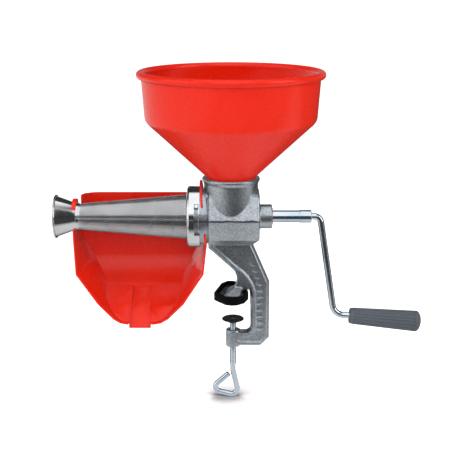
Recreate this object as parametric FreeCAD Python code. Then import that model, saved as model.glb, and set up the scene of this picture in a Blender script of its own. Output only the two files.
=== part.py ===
"""Hand crank tomato mill: cast body on a table clamp, hopper, cone filter, auger and crank.

Millimetres. +Z is up and +X runs along the shaft towards the crank. The operator stands at -Y.
The origin is the middle of the rubber jaw face that sits on the table top, under the hopper axis.
"""
import FreeCAD, Part
import math
import os

V = FreeCAD.Vector
X_AXIS = V(1, 0, 0)
Y_AXIS = V(0, 1, 0)
Z_AXIS = V(0, 0, 1)

# Driving dimensions ---------------------------------------------------------------------------
shaft_z = 106.4            # shaft axis above the table top
running_gap = 0.05         # radial gap of a running fit
loose_gap = 0.4            # gap between bodies that only pass each other

# Body casting
barrel_x0 = -27.6
barrel_x1 = 35.4
barrel_ridge = (36.1, 2.0)         # (Y, height over the axis) of the parting ridge
barrel_shoulder = (24.0, 29.3)
barrel_crown = (17.0, 33.0)
barrel_lower = (23.8, -25.6)
barrel_keel = (15.0, -32.9)
bore_r = 24.5
bore_end_x = 24.0                  # inner face of the closed end wall
spigot_x = -48.5                   # end face that the filter gasket seals on
flange_r = 34.5
flange_x1 = -29.4
groove_r = 31.0
neck_r = 33.6
neck_bead_r = 35.9
neck_top_z = shaft_z + 50.3
neck_bore_r = 31.2
neck_seat_z = shaft_z + 29.6       # shoulder inside the neck, under the hopper spigot
throat_r = 23.5
boss_r = 15.3
boss_x1 = 51.2
end_corner = 8.0                   # chamfer under the crank end of the barrel
bush_r = 10.5
seal_r = 12.0
seal_x0 = bore_end_x + 1.6
seal_x1 = bore_end_x + 6.0

# C-frame of the clamp
arm_half = 8.0                     # ribs
web_half = 5.5
bevel = 3.2
rib_width = 4.2
tally_count = 11
arm_back_x = 49.1
arm_throat_x = 24.2
arm_top_left = (-29.1, 65.4)
jaw_floor_z = -41.8                # top of the lower arm
arm_bottom_z = -64.9
screw_x = 2.5
screw_boss_r = 9.1

# Jaw cap
cap_height = 11.0
cap_wall = 3.0
cap_floor = 2.2

# Hopper
rim_z = shaft_z + 175.9
rim_bead_r = 4.7
rim_mid_r = 109.5
hopper_wall_r = 108.6
hopper_crease_r = 105.1
hopper_crease_z = shaft_z + 121.1
hopper_wall = 2.5
spigot_r = 31.0

# Filter
collar_x0 = -54.3
collar_x1 = -38.4
collar_r = 38.1
collar_bore_r = flange_r + loose_gap
collar_end = 2.8
screen_x0 = -188.6
screen_r0 = 15.75
screen_x1 = -51.5
screen_r1 = 27.5
screen_wall = 0.9
horn_x0 = -217.4
horn_rim_r = 27.2
horn_throat_r = 16.2
horn_wall = 0.9
pin_count = 3
pin_r = 2.3
pin_x = -42.2
pin_angle = 32.0                   # first bayonet pin, above horizontal on the operator's side
twist_range = 54.0                 # degrees between locked and free
slot_gap = 0.3
gasket_x0 = spigot_x - 1.6
screen_flange = 0.9                # turned-out rim of the screen, trapped by the gasket
end_ring_width = 3.2

# Rotor
shaft_r = 7.5
journal_r = 5.0
sleeve_x0 = 85.4
sleeve_x1 = 100.1
sleeve_r = 7.9
rod_r = 4.05
auger_tip_x = -186.0
auger_rear_x = 20.5
auger_core_rear_r = 16.0
auger_core_tip_r = 8.0
auger_pitch = 27.0
flight_width = 4.5
shaft_inner_x = -60.0
cross_pin_x = -30.0
cross_pin_r = 2.0
crank_pin_r = 1.5
spring_pocket_r = 13.2
spring_x0 = 6.0
spring_mean_r = 10.6
spring_wire_r = 0.9
spring_turns = 4.0
washer_x0 = bore_end_x - 1.5

# Crank
crank_corner = (111.1, shaft_z)    # where the shaft line meets the arm line
crank_elbow = (131.4, -22.3)       # where the arm line meets the grip axis
crank_bend_1 = 9.0
crank_bend_2 = 15.0
grip_x0 = 151.3
grip_drop = 5.08                   # degrees that the grip axis falls away from the shaft
grip_length = 86.0
grip_r0 = 10.3
grip_r1 = 13.4
flute_count = 18
flute_depth = 1.1
flute_r = 1.25
grip_recess = 12.0                 # hollow of the outer end, closed by the cap
nut_back = 11.4                    # push nut, measured back from the outer end

# Splash guard
guard_left_x = -194.0
guard_back_y = 41.5
guard_front_y = -26.0
guard_draft = 0.27                 # how much the lower side walls close in per mm towards the back
guard_top_z = shaft_z + 21.6
guard_wall = 2.0
guard_right_x = -32.2              # outer face of the wall beside the body, at shaft height
guard_lean = 0.09                  # sideways lean of that wall, per mm of height
guard_corner_r = 26.0              # back corner at the horn
guard_collar_corner_r = 10.0       # back corner beside the collar
guard_lip_z = -23.5
hook_plate = 2.4
hook_r = 45.6
hook_mouth = 30.0                  # degrees above horizontal where the open mouth starts
chute_slope = 0.52
chute_fall = 1.2                   # steeper slope in front of the break
chute_break_y = -20.0
chute_break_z = -6.0
channel_y = 15.0
channel_depth = 4.5
channel_x0 = -125.0
channel_x1 = -102.0
channel_front_y = -33.4

# Clamp screw
screw_r = 4.0                      # M8
loop_r = 3.45
disc_r = 14.0
disc_top_z = -27.0
stem_bottom_z = -98.0
tip_r = 2.9


# Helpers --------------------------------------------------------------------------------------
def cyl_x(radius, x0, x1, z=shaft_z):
    return Part.makeCylinder(radius, x1 - x0, V(x0, 0, z), X_AXIS)


def ring_x(outer, inner, x0, x1, z=shaft_z):
    return cyl_x(outer, x0, x1, z).cut(cyl_x(inner, x0 - 1, x1 + 1, z))


def cyl_z(radius, z0, z1, x=0.0, y=0.0):
    return Part.makeCylinder(radius, z1 - z0, V(x, y, z0), Z_AXIS)


def box(x0, x1, y0, y1, z0, z1):
    return Part.makeBox(x1 - x0, y1 - y0, z1 - z0, V(x0, y0, z0))


def face_of(points):
    return Part.Face(Part.makePolygon(points + [points[0]]))


def revolve_x(profile, z=shaft_z):
    """Turn (x, radius) points about the shaft axis."""
    face = face_of([V(x, 0, z + r) for x, r in profile])
    return face.revolve(V(0, 0, z), X_AXIS, 360)


def revolve_z(profile, x=0.0):
    """Turn (radius, z) points about a vertical axis at x."""
    face = face_of([V(x + r, 0, z) for r, z in profile])
    return face.revolve(V(x, 0, 0), Z_AXIS, 360)


def prism_y(points, half):
    """Extrude (x, z) points from -half to +half along Y."""
    return face_of([V(x, -half, z) for x, z in points]).extrude(V(0, 2 * half, 0))


def prism_x(points, x0, x1):
    """Extrude (y, z) points along X."""
    return face_of([V(x0, y, z) for y, z in points]).extrude(V(x1 - x0, 0, 0))


def rod_path(points, radii):
    """Wire of straight runs joined by tangent arcs, one radius per inner point."""
    edges = []
    start = points[0]
    for before, corner, after, radius in zip(points, points[1:], points[2:], radii):
        into = (corner - before).normalize()
        out = (after - corner).normalize()
        turn = into.getAngle(out)
        reach = radius * math.tan(turn / 2)
        arc_start = corner - into * reach
        arc_end = corner + out * reach
        centre = corner + (out - into).normalize() * (radius / math.cos(turn / 2))
        middle = centre + (corner - centre).normalize() * radius
        edges.append(Part.LineSegment(start, arc_start).toShape())
        edges.append(Part.Arc(arc_start, middle, arc_end).toShape())
        start = arc_end
    edges.append(Part.LineSegment(start, points[-1]).toShape())
    return Part.Wire(edges)


def rod(points, radii, radius):
    """Round bar along a rod_path."""
    path = rod_path(points, radii)
    normal = (points[1] - points[0]).normalize()
    section = Part.Wire(Part.makeCircle(radius, points[0], normal))
    return path.makePipeShell([section], True, False)


def fillet_where(shape, radius, wanted):
    edges = [edge for edge in shape.Edges if wanted(edge)]
    return shape.makeFillet(radius, edges)


def on_axis(angle, radius, x):
    """Point at a radius from the shaft axis, angle up from the operator's side."""
    a = math.radians(angle)
    return V(x, -radius * math.cos(a), shaft_z + radius * math.sin(a))


def save(shape, name):
    solids = shape.Solids
    if not shape.isValid():
        print("INVALID", name)
    print("%-18s solids %d volume %9.0f" % (name, len(solids), shape.Volume))
    shape.exportStep("parts/%s.step" % name)


# Body casting ---------------------------------------------------------------------------------
def barrel_block():
    half = [barrel_ridge, barrel_shoulder, barrel_crown]
    upper = [(y, shaft_z + h) for y, h in half]
    upper += [(-y, shaft_z + h) for y, h in reversed(half)]
    low = [barrel_lower, barrel_keel]
    lower = [(-y, shaft_z + h) for y, h in low]
    lower += [(y, shaft_z + h) for y, h in reversed(low)]
    block = prism_x(upper + lower, barrel_x0, barrel_x1)

    def end_edge(edge):
        return abs(edge.BoundBox.XMin - barrel_x1) < 0.01
    block = fillet_where(block, 3.0, end_edge)
    keel_z = shaft_z + barrel_keel[1]
    chamfer = prism_y([(barrel_x1 - end_corner, keel_z), (barrel_x1 + 1, keel_z - 1),
                       (barrel_x1 + 1, keel_z + end_corner + 1)], 50)
    return block.cut(chamfer)


def arm_outline(right_shift=0.0):
    """Outline of the C-frame at its middle plane; right_shift moves the outer side away."""
    back = arm_back_x + right_shift
    left = arm_top_left
    top_z = shaft_z + barrel_keel[1] + 6
    corner = arm_back_x - 11 + right_shift
    bend = V(3.9, 0, 35.7)
    swing = V(16.6, 0, 23.6)
    fall = V(arm_throat_x - 0.4, 0, 4.0)
    fillet = 6.0
    fillet_top = V(arm_throat_x, 0, jaw_floor_z + fillet)
    fillet_mid = V(arm_throat_x - fillet * 0.29, 0, jaw_floor_z + fillet * 0.29)
    fillet_end = V(arm_throat_x - fillet, 0, jaw_floor_z)
    edges = [Part.LineSegment(V(left[0], 0, top_z), V(left[0], 0, left[1])).toShape(),
             Part.LineSegment(V(left[0], 0, left[1]), bend).toShape(),
             Part.Arc(bend, swing, fall).toShape(),
             Part.LineSegment(fall, fillet_top).toShape(),
             Part.Arc(fillet_top, fillet_mid, fillet_end).toShape()]
    rest = [fillet_end, V(screw_x, 0, jaw_floor_z), V(screw_x, 0, arm_bottom_z),
            V(corner, 0, arm_bottom_z), V(back, 0, arm_bottom_z + 11.5),
            V(back, 0, 22.0), V(back - 2.6, 0, 28.5),
            V(24.6 + right_shift, 0, top_z), V(left[0], 0, top_z)]
    for a, b in zip(rest, rest[1:]):
        edges.append(Part.LineSegment(a, b).toShape())
    return Part.Wire(edges)


def arm_solid():
    outer = arm_outline()
    web_edge = outer.makeOffset2D(-4.0, 2)
    rib_edge = outer.makeOffset2D(-bevel, 2)
    pocket_edge = arm_outline(20.0).makeOffset2D(-(bevel + rib_width), 2)
    halves = []
    for side in (-1, 1):
        web_front = web_edge.copy()
        web_front.translate(V(0, side * web_half, 0))
        halves.append(Part.makeLoft([outer, web_front], True, True))
        rib_face = Part.Face(rib_edge).cut(Part.Face(pocket_edge))
        halves.append(rib_face.extrude(V(0, side * arm_half, 0)))
    solid = halves[0]
    for piece in halves[1:]:
        solid = solid.fuse(piece)
    return solid


def tally_marks():
    """Plain raised bars along the outer edge of the web, following its bend."""
    bars = []
    bar_x = 36.1
    bend_z = 18.0
    top_z = 46.0
    step = 8.6
    for i in range(tally_count):
        z = top_z - i * step
        above = max(0.0, z - bend_z)
        bar = box(-2.8, 2.8, -web_half - 0.6, -web_half + 0.5, -1.1, 1.1)
        if above > 0:
            bar.rotate(V(0, 0, 0), Y_AXIS, 22)
        bar.translate(V(bar_x - above * 0.34, 0, z))
        bars.append(bar)
    return Part.makeCompound(bars)


def cap_outline():
    """Plan of the rubber jaw cap: wide to the operator, narrower behind."""
    plan = [(-21.5, -11), (-7, -31), (1, -33.5), (8, -32), (17, -24), (22, -8),
            (19, 12), (12, 28), (3.5, 37.5), (-4.5, 37.5), (-12.5, 27.5)]
    points = [V(x, y, 0) for x, y in plan]
    return Part.makePolygon(points + [points[0]])


def foot_solid():
    plate = cap_outline().makeOffset2D(-cap_wall - 0.1, 2)
    plate.translate(V(0, 0, cap_floor + 0.05))
    pad = Part.Face(plate).extrude(V(0, 0, 4.0))
    base_z = cap_floor + 3.0
    top_z = 14.5
    low = [V(-13, -14, base_z), V(11, -19, base_z), V(15, 0, base_z), V(9, 19, base_z),
           V(-9, 18, base_z)]
    high = [V(2, -6, top_z), V(13, -6.6, top_z), V(16, 0, top_z), V(13, 6.6, top_z), V(2, 6, top_z)]
    wires = [Part.makePolygon(ring + [ring[0]]) for ring in (low, high)]
    tent = Part.makeLoft(wires, True, True)
    gusset = prism_y([(2.9, 13.5), (5.6, 18), (7.4, 24.8), (6.6, 31), (3.6, 37), (28, 37),
                      (28, 11.6), (17, 11.6), (13, 8), (6, 8)], 5.0)
    return pad.fuse(tent).fuse(gusset)


def neck_solid():
    neck = cyl_z(neck_r, shaft_z, neck_top_z - 0.5)
    bead = revolve_z([(20, neck_top_z - 7.5), (neck_r - 0.1, neck_top_z - 7.5),
                      (neck_bead_r, neck_top_z - 3.2), (neck_bead_r, neck_top_z - 1.0),
                      (neck_bead_r - 1.0, neck_top_z), (20, neck_top_z)])
    return neck.fuse(bead)


def body_casting():
    solid = barrel_block()
    for piece in (neck_solid(), cyl_x(groove_r, spigot_x, barrel_x0 + 1),
                  cyl_x(flange_r, spigot_x, flange_x1), cyl_x(boss_r, barrel_x1 - 4, boss_x1),
                  arm_solid(), foot_solid(),
                  cyl_z(screw_boss_r, arm_bottom_z, jaw_floor_z, screw_x)):
        solid = solid.fuse(piece)
    solid = solid.fuse(tally_marks())
    cuts = [cyl_x(bore_r, spigot_x - 1, bore_end_x),
            cyl_x(seal_r, bore_end_x - 1, seal_x1),
            cyl_x(bush_r, seal_x1 - 1, boss_x1 + 1),
            cyl_z(neck_bore_r, neck_seat_z, neck_top_z + 1),
            cyl_z(throat_r, shaft_z, neck_seat_z + 1),
            cyl_z(screw_r + running_gap, arm_bottom_z - 1, jaw_floor_z + 1, screw_x)]
    for tool in cuts:
        solid = solid.cut(tool)
    for i in range(pin_count):
        solid = solid.cut(bayonet_pin(pin_angle + i * 360.0 / pin_count))
    return solid.removeSplitter()


def bayonet_pin(angle):
    inner = on_axis(angle, flange_r - 5, pin_x)
    outer = on_axis(angle, collar_r + 0.4, pin_x)
    return Part.makeCylinder(pin_r, (outer - inner).Length, inner, outer - inner)


def bayonet_pins():
    return Part.makeCompound([bayonet_pin(pin_angle + i * 360.0 / pin_count)
                              for i in range(pin_count)])


def shaft_bush():
    return ring_x(bush_r, shaft_r + running_gap, seal_x1, boss_x1 + 0.6)


def shaft_seal():
    body = ring_x(seal_r, shaft_r + 0.1, seal_x0, seal_x1)
    return body.cut(ring_x(seal_r - 1.4, shaft_r + 1.6, seal_x0 - 1, seal_x0 + 2.4))


def collar_gasket():
    return ring_x(flange_r - 0.6, bore_r + 0.6, gasket_x0, spigot_x)


def jaw_rubber_cap():
    outer = Part.Face(cap_outline()).extrude(V(0, 0, cap_height))
    hollow = cap_outline().makeOffset2D(-cap_wall, 2)
    hollow.translate(V(0, 0, cap_floor))
    return outer.cut(Part.Face(hollow).extrude(V(0, 0, cap_height)))


# Hopper ---------------------------------------------------------------------------------------
def hopper():
    foot_z = neck_seat_z + 0.3
    cone_z = neck_top_z + 0.6
    outer = [(spigot_r, foot_z), (spigot_r, cone_z),
             (hopper_crease_r - 4, hopper_crease_z - 3.9),
             (hopper_crease_r - 1.3, hopper_crease_z - 0.6),
             (hopper_crease_r, hopper_crease_z + 4), (hopper_wall_r, rim_z)]
    inner = [(hopper_wall_r - hopper_wall, rim_z),
             (hopper_crease_r - hopper_wall, hopper_crease_z + 4.6),
             (hopper_crease_r - 3.6, hopper_crease_z + 1.0),
             (hopper_crease_r - 6, hopper_crease_z - 2),
             (spigot_r - hopper_wall, cone_z + 0.8), (spigot_r - hopper_wall, foot_z)]
    shell = revolve_z(outer + inner)
    rim = Part.makeTorus(rim_mid_r, rim_bead_r, V(0, 0, rim_z), Z_AXIS)
    return shell.fuse(rim)


# Filter ---------------------------------------------------------------------------------------
def slot_cut(angle):
    """L-shaped bayonet slot that ends at the pin, with its mouth twist_range below it."""
    tube = ring_x(collar_r + 2, collar_bore_r - 1, pin_x - pin_r - slot_gap, pin_x + pin_r + slot_gap)
    width = math.degrees((pin_r + 0.35) / collar_r)
    low = angle - twist_range - width
    high = angle + width
    reach = 60.0
    wedge_points = [V(-100, 0, shaft_z)]
    steps = 6
    for i in range(steps + 1):
        wedge_points.append(on_axis(low + (high - low) * i / steps, reach, -100))
    run = tube.common(face_of(wedge_points).extrude(V(100, 0, 0)))
    mouth_points = [V(pin_x, 0, shaft_z), on_axis(low, reach, pin_x),
                    on_axis(low + 2 * width, reach, pin_x)]
    ring = ring_x(collar_r + 2, collar_bore_r - 1, pin_x, collar_x1 + 1)
    mouth = ring.common(face_of(mouth_points).extrude(V(20, 0, 0)))
    return run.fuse(mouth)


def filter_collar():
    hole_r = screen_r1 + 0.6
    profile = [(collar_x0, hole_r), (collar_x0, collar_r - 3.2), (collar_x0 + 0.9, collar_r - 1.0),
               (collar_x0 + 3.0, collar_r), (collar_x1, collar_r), (collar_x1, collar_bore_r),
               (collar_x0 + collar_end, collar_bore_r), (collar_x0 + collar_end, hole_r)]
    cup = revolve_x(profile)
    for i in range(pin_count):
        cup = cup.cut(slot_cut(pin_angle + i * 360.0 / pin_count))
    return cup


def screen_radius(x):
    return screen_r0 + (screen_r1 - screen_r0) * (x - screen_x0) / (screen_x1 - screen_x0)


def filter_screen():
    flange_x = gasket_x0 - screen_flange
    profile = [(screen_x0, screen_r0 - screen_wall), (screen_x0, screen_r0),
               (flange_x, screen_radius(flange_x)), (flange_x, flange_r - 0.5),
               (gasket_x0, flange_r - 0.5), (gasket_x0, screen_radius(gasket_x0) - screen_wall)]
    return revolve_x(profile)


def screen_end_ring():
    return ring_x(screen_r0 + 0.9, screen_r0 - screen_wall, screen_x0 - end_ring_width, screen_x0)


def outlet_horn():
    x1 = screen_x0 - end_ring_width
    bead_r = 1.3
    flare = horn_rim_r - bead_r - 0.1 - horn_throat_r
    steps = 8
    outer = []
    for i in range(steps + 1):
        t = i / steps
        outer.append((x1 + (horn_x0 - x1) * t, horn_throat_r + flare * t ** 0.95))
    inner = [(x, r - horn_wall) for x, r in reversed(outer)]
    shell = revolve_x(outer + inner)
    bead = Part.makeTorus(horn_rim_r - bead_r, bead_r, V(horn_x0, 0, shaft_z), X_AXIS)
    return shell.fuse(bead)


# Rotor ----------------------------------------------------------------------------------------
def auger_envelope():
    return revolve_x([(auger_tip_x, 0), (auger_tip_x, 13.4), (screen_x1, 25.2), (screen_x1 + 2, 24.0),
                      (auger_rear_x, 24.0), (auger_rear_x, 0)])


def auger():
    core = revolve_x([(auger_tip_x - 5, 0), (auger_tip_x - 4.2, 4.5), (auger_tip_x, auger_core_tip_r),
                      (auger_rear_x, auger_core_rear_r), (auger_rear_x, 0)])
    length = auger_rear_x - auger_tip_x
    root = 6.5
    helix = Part.makeLongHelix(auger_pitch, length, root, 0, True)
    section = Part.makePolygon([V(root, 0, 0), V(28, 0, 0.9), V(28, 0, flight_width - 0.9),
                                V(root, 0, flight_width), V(root, 0, 0)])
    flight = Part.Wire(helix).makePipeShell([section], True, True)
    flight.rotate(V(0, 0, 0), Y_AXIS, 90)
    flight.translate(V(auger_tip_x, 0, shaft_z))
    flight = flight.common(auger_envelope())
    screw = core.fuse(flight)
    screw = screw.cut(cyl_x(shaft_r + 0.02, shaft_inner_x, auger_rear_x + 1))
    screw = screw.cut(cyl_x(spring_pocket_r, spring_x0, auger_rear_x + 1))
    return screw.cut(cross_pin_solid())


def cross_pin_solid():
    length = 25.0
    return Part.makeCylinder(cross_pin_r, length, V(cross_pin_x, -length / 2, shaft_z), Y_AXIS)


def auger_cross_pin():
    return cross_pin_solid()


def auger_spring():
    """Compression spring that pushes the auger towards the filter."""
    x0 = spring_x0 + spring_wire_r
    length = washer_x0 - spring_wire_r - x0
    helix = Part.makeLongHelix(length / spring_turns, length, spring_mean_r, 0, False)
    section = Part.Wire(Part.makeCircle(spring_wire_r, V(spring_mean_r, 0, 0), Y_AXIS))
    coil = Part.Wire(helix).makePipeShell([section], True, True)
    coil.rotate(V(0, 0, 0), Y_AXIS, 90)
    coil.translate(V(x0, 0, shaft_z))
    return coil


def thrust_washer():
    return ring_x(14.5, shaft_r + 0.02, washer_x0, bore_end_x - 0.3)


def drive_shaft():
    shaft = cyl_x(shaft_r, shaft_inner_x + 0.3, sleeve_x0)
    shaft = shaft.fuse(cyl_x(journal_r, sleeve_x0 - 1, sleeve_x0 + 8.5))
    shaft = shaft.cut(crank_pin_solid())
    return shaft.cut(cross_pin_solid())


def crank_pin_solid():
    low_z = shaft_z - sleeve_r + 0.2
    return Part.makeCylinder(crank_pin_r, 2 * sleeve_r - 0.4, V(sleeve_x0 + 4.5, 0, low_z), Z_AXIS)


def crank_pin():
    return crank_pin_solid()


def crank_sleeve():
    tube = cyl_x(sleeve_r, sleeve_x0, sleeve_x1)
    tube = fillet_where(tube, 1.0, lambda edge: edge.BoundBox.XMin > sleeve_x1 - 0.1)
    tube = tube.cut(cyl_x(journal_r, sleeve_x0 - 1, sleeve_x0 + 8.5))
    tube = tube.cut(cyl_x(rod_r, sleeve_x0 + 8, sleeve_x1 + 1))
    return tube.cut(crank_pin_solid())


def grip_point(along):
    """Point on the grip axis, measured from the grip's inner end."""
    a = math.radians(grip_drop)
    start_z = crank_elbow[1] - (grip_x0 - crank_elbow[0]) * math.tan(a)
    return V(grip_x0 + along * math.cos(a), 0, start_z - along * math.sin(a))


def crank_rod():
    start = V(sleeve_x0 + 8.5, 0, shaft_z)
    corner = V(crank_corner[0], 0, crank_corner[1])
    elbow = V(crank_elbow[0], 0, crank_elbow[1])
    end = grip_point(grip_length - 9)
    return rod([start, corner, elbow, end], [crank_bend_1, crank_bend_2], rod_r)


def on_grip(shape):
    """Place a shape made along +Z from the origin onto the grip axis."""
    shape.rotate(V(0, 0, 0), Y_AXIS, 90 + grip_drop)
    shape.translate(grip_point(0))
    return shape


def grip_radius(along):
    return grip_r0 + (grip_r1 - grip_r0) * min(1.0, along / (grip_length - 2))


def grip_sleeve():
    body = revolve_z([(0, 0), (grip_r0 - 1.0, 0), (grip_r0 - 0.2, 1.2), (grip_r0 - 0.2, 3.4),
                      (grip_r0 + 0.3, 4.4), (grip_radius(grip_length), grip_length), (0, grip_length)])
    for i in range(flute_count):
        angle = 360.0 * i / flute_count
        low = V(grip_radius(4) + flute_r - flute_depth + 0.3, 0, 4.4)
        high = V(grip_radius(grip_length) + flute_r - flute_depth, 0, grip_length - 3)
        groove = Part.makeCylinder(flute_r, (high - low).Length, low, high - low)
        groove.rotate(V(0, 0, 0), Z_AXIS, angle)
        body = body.cut(groove)
    body = body.cut(cyl_z(rod_r + 0.15, -1, grip_length + 1))
    body = body.cut(cyl_z(9.0, grip_length - grip_recess, grip_length + 1))
    return on_grip(body)


def grip_end_cap():
    dome = revolve_z([(0, grip_length - 4), (8.9, grip_length - 4), (8.9, grip_length),
                      (grip_r1 - 0.1, grip_length), (grip_r1 - 0.5, grip_length + 1.6),
                      (grip_r1 - 3.4, grip_length + 3.9), (grip_r1 - 8, grip_length + 5.2),
                      (0, grip_length + 5.6)])
    return on_grip(dome)


def grip_push_nut():
    nut = cyl_z(7.2, grip_length - nut_back, grip_length - nut_back + 1.0)
    nut = nut.cut(cyl_z(rod_r, 0, grip_length))
    return on_grip(nut)


# Splash guard ---------------------------------------------------------------------------------
def guard_right(z):
    """Outer X of the wall beside the body, which leans away from it with height."""
    return guard_right_x - guard_lean * (z - shaft_z)


def between(start, end, count):
    """Evenly spaced points on a straight line, without its ends."""
    points = []
    for i in range(1, count + 1):
        t = i / (count + 1)
        points.append((start[0] + (end[0] - start[0]) * t, start[1] + (end[1] - start[1]) * t))
    return points


def guard_outline():
    """Points (x, z) of the guard's outer edge, seen from the operator's side."""
    left_high = (guard_left_x, 83)
    left_low = (guard_left_x + 1.6, 38)
    right_low = (-34, 38)
    right_high = (guard_right(77), 77)
    top = [(guard_left_x + 7.0, guard_top_z), (guard_left_x + 3.5, guard_top_z - 0.9),
              (guard_left_x + 0.9, guard_top_z - 3.5), (guard_left_x, guard_top_z - 7.0),
              left_high]
    lower = [left_low, (-164.5, 0.6), (-144, -17.5), (-136, -22), (-127.5, guard_lip_z),
             (-96.5, guard_lip_z), (-88.5, -22), (-80.5, -17.5), (-60, 0.6), right_low]
    left_side = between(left_high, left_low, 5)
    right_side = between(right_low, right_high, 5)
    last = (guard_right(guard_top_z), guard_top_z)
    return top + left_side + lower + right_side + [right_high, last]


def narrowing(z):
    """Share of the draft that the side walls have at a height: none above, all in the middle."""
    table = [(guard_lip_z, 0.3), (-22.0, 0.55), (-17.5, 0.8), (0.6, 1.0), (38.0, 1.0), (77.0, 0.0)]
    if z >= 77.0:
        return 0.0
    if z <= guard_lip_z:
        return table[0][1]
    for (z0, share0), (z1, share1) in zip(table, table[1:]):
        if z <= z1:
            return share0 + (share1 - share0) * (z - z0) / (z1 - z0)


def guard_section(points, y):
    """The outline at a distance behind the front edge, drawn in towards the middle by the draft."""
    middle = (guard_left_x + guard_right_x) / 2
    moved = []
    for x, z in points:
        inward = guard_draft * narrowing(z) * (y - guard_front_y)
        moved.append(V(x + inward if x < middle else x - inward, y, z))
    return moved


def guard_block(points):
    """Solid block from the front outline to the narrower one behind, with flat triangular sides."""
    sections = [guard_section(points, -40 + 10 * i) for i in range(10)]
    faces = [face_of(sections[0]), face_of(sections[-1])]
    for front, back in zip(sections, sections[1:]):
        for i in range(len(points)):
            a, b = front[i - 1], front[i]
            c, d = back[i], back[i - 1]
            faces.append(face_of([a, b, c]))
            faces.append(face_of([a, c, d]))
    solid = Part.Solid(Part.Shell(faces))
    if solid.Volume < 0:
        solid.reverse()
    return solid.removeSplitter()


def chute_z(y):
    if y > chute_break_y:
        return chute_break_z + (y - chute_break_y) * chute_slope
    return chute_break_z + (y - chute_break_y) * chute_fall


def guard_profile():
    """Wire in the YZ plane: back wall, swept corner, chute and open front."""
    back_low = V(0, guard_back_y, 58)
    sweep = V(0, 33.5, 31)
    chute_top = V(0, 16, chute_z(16))
    front = -90
    points = [chute_top, V(0, chute_break_y, chute_break_z), V(0, -60, chute_z(-60)),
              V(0, front, chute_z(-60)), V(0, front, 200), V(0, guard_back_y, 200), back_low]
    edges = [Part.Arc(back_low, sweep, chute_top).toShape()]
    for a, b in zip(points, points[1:]):
        edges.append(Part.LineSegment(a, b).toShape())
    return Part.Wire(edges)


def guard_plan(margin):
    """Block seen from above, with well rounded corners between the back wall and the side walls."""
    right = guard_right_x + guard_lean * 30.0 - margin
    left = guard_left_x + margin
    back = guard_back_y + guard_wall - margin
    block = box(left, right, -100, back, -60, 220)

    def corner_at(x):
        def wanted(edge):
            bounds = edge.BoundBox
            return bounds.ZLength > 200 and bounds.YMin > 0 and abs(bounds.XMin - x) < 0.1
        return wanted
    block = fillet_where(block, guard_corner_r - margin, corner_at(left))
    return fillet_where(block, guard_collar_corner_r - margin, corner_at(right))


def guard_tub(points, profile, margin):
    across = guard_block(points)
    profile = profile.copy()
    profile.translate(V(-250, 0, 0))
    along = Part.Face(profile).extrude(V(300, 0, 0))
    return across.common(along).common(guard_plan(margin))


def front_cut():
    """Everything on the operator's side of the guard's front edge."""
    edge = [(guard_front_y, 220), (guard_front_y, 38), (-30, 0), (-37, -26), (-37, -80), (-200, -80), (-200, 220)]
    return prism_x(edge, -260, 10)


def guard_channel(width_margin, depth):
    back_y = channel_y + width_margin
    floor = [(back_y, chute_z(channel_y) + 0.5), (back_y, chute_z(channel_y) - depth),
             (chute_break_y, chute_break_z - depth - 0.4), (-60, chute_z(-60) - depth),
             (-60, chute_z(-60) + 0.5), (chute_break_y, chute_break_z + 0.5)]
    return prism_x(floor, channel_x0 - width_margin, channel_x1 + width_margin)


def neck_hook():
    """Hook plate that hangs on the flange of the body, with an open mouth to the front."""
    plate = cyl_x(hook_r, -hook_plate, 0, 0)
    plate.rotate(V(0, 0, 0), Y_AXIS, -math.degrees(math.atan(guard_lean)))
    plate.translate(V(guard_right_x, 0, shaft_z))
    return plate.common(box(-60, 0, -60, 60, 77, 160))


def splash_guard():
    points = guard_outline()
    profile = guard_profile()
    outer = guard_tub(points, profile.makeOffset2D(guard_wall, 0), 0)
    edge = Part.makePolygon([V(x, 0, z) for x, z in points + [points[0]]])
    inner_edge = edge.makeOffset2D(-guard_wall, 2)
    inner_points = [(vertex.X, vertex.Z) for vertex in inner_edge.OrderedVertexes]
    inner = guard_tub(inner_points, profile, guard_wall)
    top_open = box(guard_left_x + guard_wall, guard_right_x - guard_wall - 1.6, -100, guard_back_y,
                   guard_top_z - 10, 200).common(guard_plan(guard_wall))
    shell = outer.cut(inner).cut(top_open)
    shell = shell.fuse(guard_channel(guard_wall, channel_depth + guard_wall))
    shell = shell.cut(guard_channel(0, channel_depth))
    shell = shell.cut(front_cut())
    shell = shell.cut(box(channel_x0 - 3, channel_x1 + 3, -80, channel_front_y, -60, -15))
    shell = shell.fuse(neck_hook())
    hang_r = flange_r + 0.5
    shell = shell.cut(cyl_x(hang_r, -60, 0))
    mouth_points = [V(-60, 0, shaft_z), on_axis(hook_mouth, 90, -60), on_axis(-24, 90, -60)]
    shell = shell.cut(face_of(mouth_points).extrude(V(60, 0, 0)))
    return hang_on_horn(shell)


def hang_on_horn(shell):
    """Open the far end round the horn's throat and leave a finger that rests on it."""
    throat_hang_r = horn_throat_r + 2.3
    finger_r = throat_hang_r + 3.8
    left = guard_left_x - 5
    right = -180
    shell = shell.cut(cyl_x(throat_hang_r, left, right))
    shell = shell.cut(box(left, right, -60, 0, shaft_z - 11.6, shaft_z + 15.4))
    above = box(left, right, -60, 30.0, shaft_z + 8.0, 200).cut(cyl_x(finger_r, left - 1, right + 1))
    shell = shell.cut(above)
    finger = ring_x(finger_r, throat_hang_r, guard_left_x - 2.0, guard_left_x + 3.0)
    return shell.fuse(finger.common(box(left, right, -17, 10, shaft_z + 12.0, 200)))


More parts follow.
